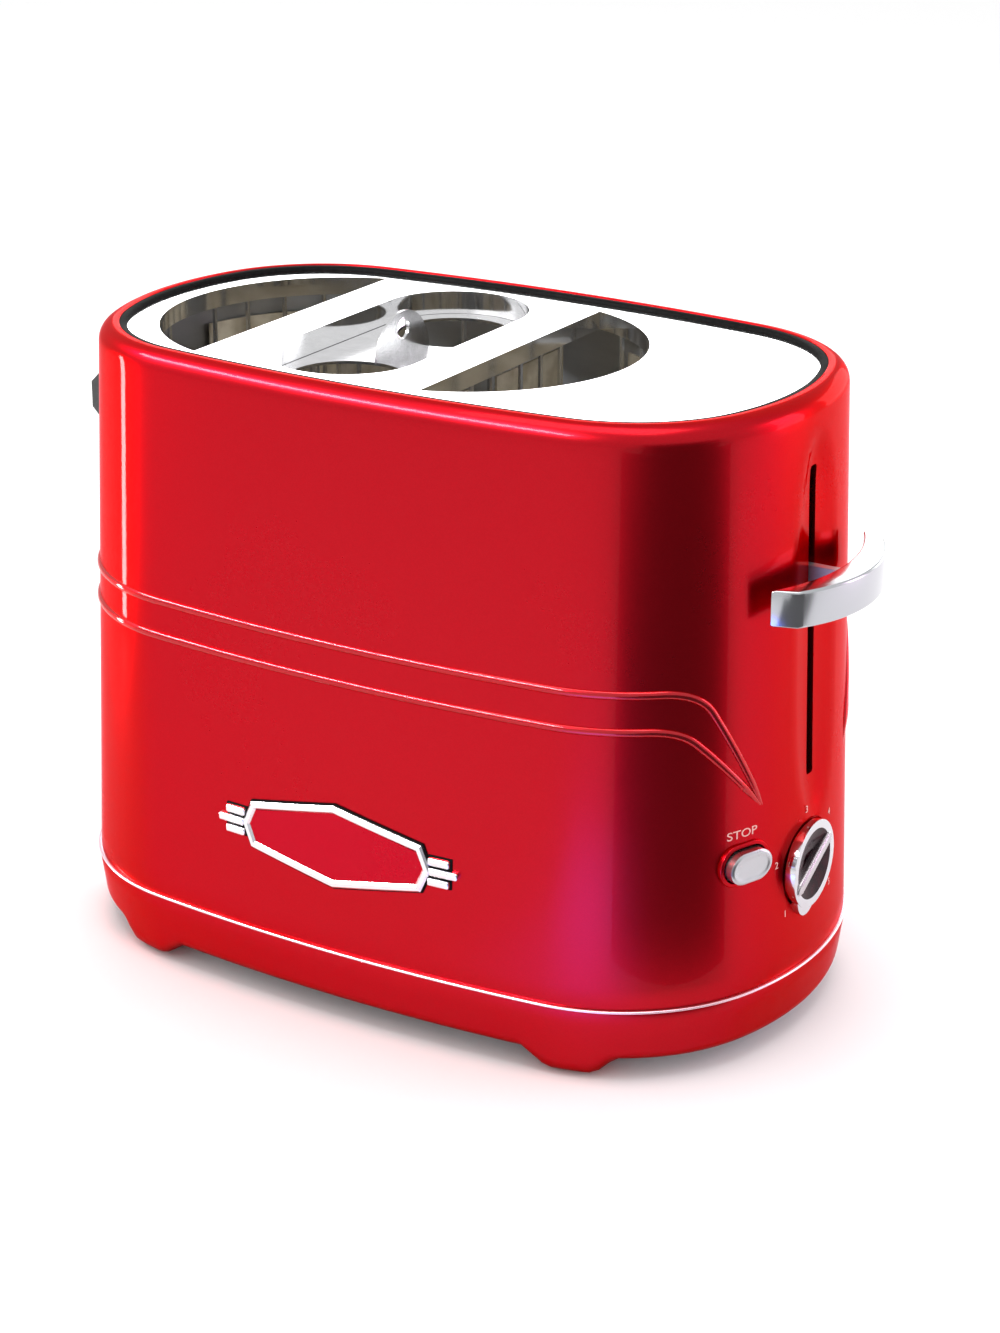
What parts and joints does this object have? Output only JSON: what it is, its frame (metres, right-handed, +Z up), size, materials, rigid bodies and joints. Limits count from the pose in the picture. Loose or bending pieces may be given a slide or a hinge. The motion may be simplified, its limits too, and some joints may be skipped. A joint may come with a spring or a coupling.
{
  "type": "hot dog toaster",
  "caption": "Pop-up toaster with half-round bun slots either side of a lift-out wire cage for hot dogs, worked by an end lever, stop button and browning dial.",
  "frame": {"origin": "on the floor plane under the middle of the toaster's overall bounds", "axes": "+Z up, +X along the long side towards the lever end, -Y towards the side with the badge"},
  "size_m": [0.2842, 0.1656, 0.22],
  "materials": {
    "painted_red": "glossy metallic red lacquer over moulded plastic",
    "polished_steel": "polished stainless sheet",
    "galvanised_steel": "plain zinc-plated steel sheet",
    "steel_wire": "bright nickel-plated steel wire",
    "chrome_plastic": "bright chrome plating on moulded plastic",
    "knob_chrome": "bright chrome plating on moulded plastic, dark dished face",
    "button_silver": "silver plating on moulded plastic",
    "black_plastic": "matt black moulded plastic",
    "white_plastic": "matt white moulded plastic",
    "rubber_black": "matt black rubber",
    "mica_card": "pale brown mica sheet",
    "heater_wire": "flat nickel-chrome heating ribbon",
    "coil_copper": "enamelled copper winding on a plastic bobbin",
    "board_green": "green circuit board",
    "enamel_red": "glossy red enamel"
  },
  "bodies": {
    "toaster": {"body_shell": "painted_red", "base": "painted_red", "bottom_plate": "galvanised_steel", "foot_pads": "rubber_black", "top_plate": "polished_steel", "rear_spacer": "black_plastic", "chassis_plate": "galvanised_steel", "heat_shield": "galvanised_steel", "bun_guard_front": "steel_wire", "bun_guard_rear": "steel_wire", "heater_cards": "mica_card", "heater_wires": "heater_wire", "guide_rods": "steel_wire", "rod_bracket": "galvanised_steel", "lift_spring": "steel_wire", "electromagnet": "coil_copper", "mains_switch": "black_plastic", "control_board": "board_green", "board_brackets": "galvanised_steel", "timer": "black_plastic", "stop_switch": "black_plastic", "terminal_block": "white_plastic", "cord_gland": "black_plastic", "badge_frame": "chrome_plastic", "badge_inlay": "enamel_red", "base_screws": "steel_wire", "chassis_screws": "steel_wire"},
    "lever": {"lever_handle": "chrome_plastic", "lever_arm": "galvanised_steel", "carriage": "galvanised_steel", "rack_beam": "galvanised_steel", "bun_rack_front": "steel_wire", "bun_rack_rear": "steel_wire", "hot_dog_lifters": "steel_wire", "armature": "galvanised_steel"},
    "dial": {"knob": "knob_chrome"},
    "stop_button": {"stop_button": "button_silver"},
    "hot_dog_cage": {"cage_flange": "polished_steel", "cage_wires": "steel_wire", "cage_rings": "steel_wire"},
    "crumb_tray": {"crumb_tray": "galvanised_steel"}
  },
  "joints": [
    {"name": "lever_slide", "type": "slide", "parent": "toaster", "child": "lever", "axis": [0, 0, 1], "range_m": [-0.058, 0.0303], "stiffness_N_per_m": 60, "springref_m": 0.0298, "deforming": ["lift_spring"]},
    {"name": "knob_turn", "type": "hinge", "parent": "toaster", "child": "dial", "pos_m": [0.12787, -0.005, 0.0603], "axis": [1, 0, 0], "range_deg": [-264, 0]},
    {"name": "stop_press", "type": "slide", "parent": "toaster", "child": "stop_button", "axis": [-0.9348, 0.3551, 0], "range_m": [0, 0.0025], "stiffness_N_per_m": 400},
    {"name": "cage_lift", "type": "slide", "parent": "toaster", "child": "hot_dog_cage", "axis": [0, 0, 1], "range_m": [0, 0.16]},
    {"name": "tray_pull", "type": "slide", "parent": "toaster", "child": "crumb_tray", "axis": [-1, 0, 0], "range_m": [0, 0.15]}
  ]
}
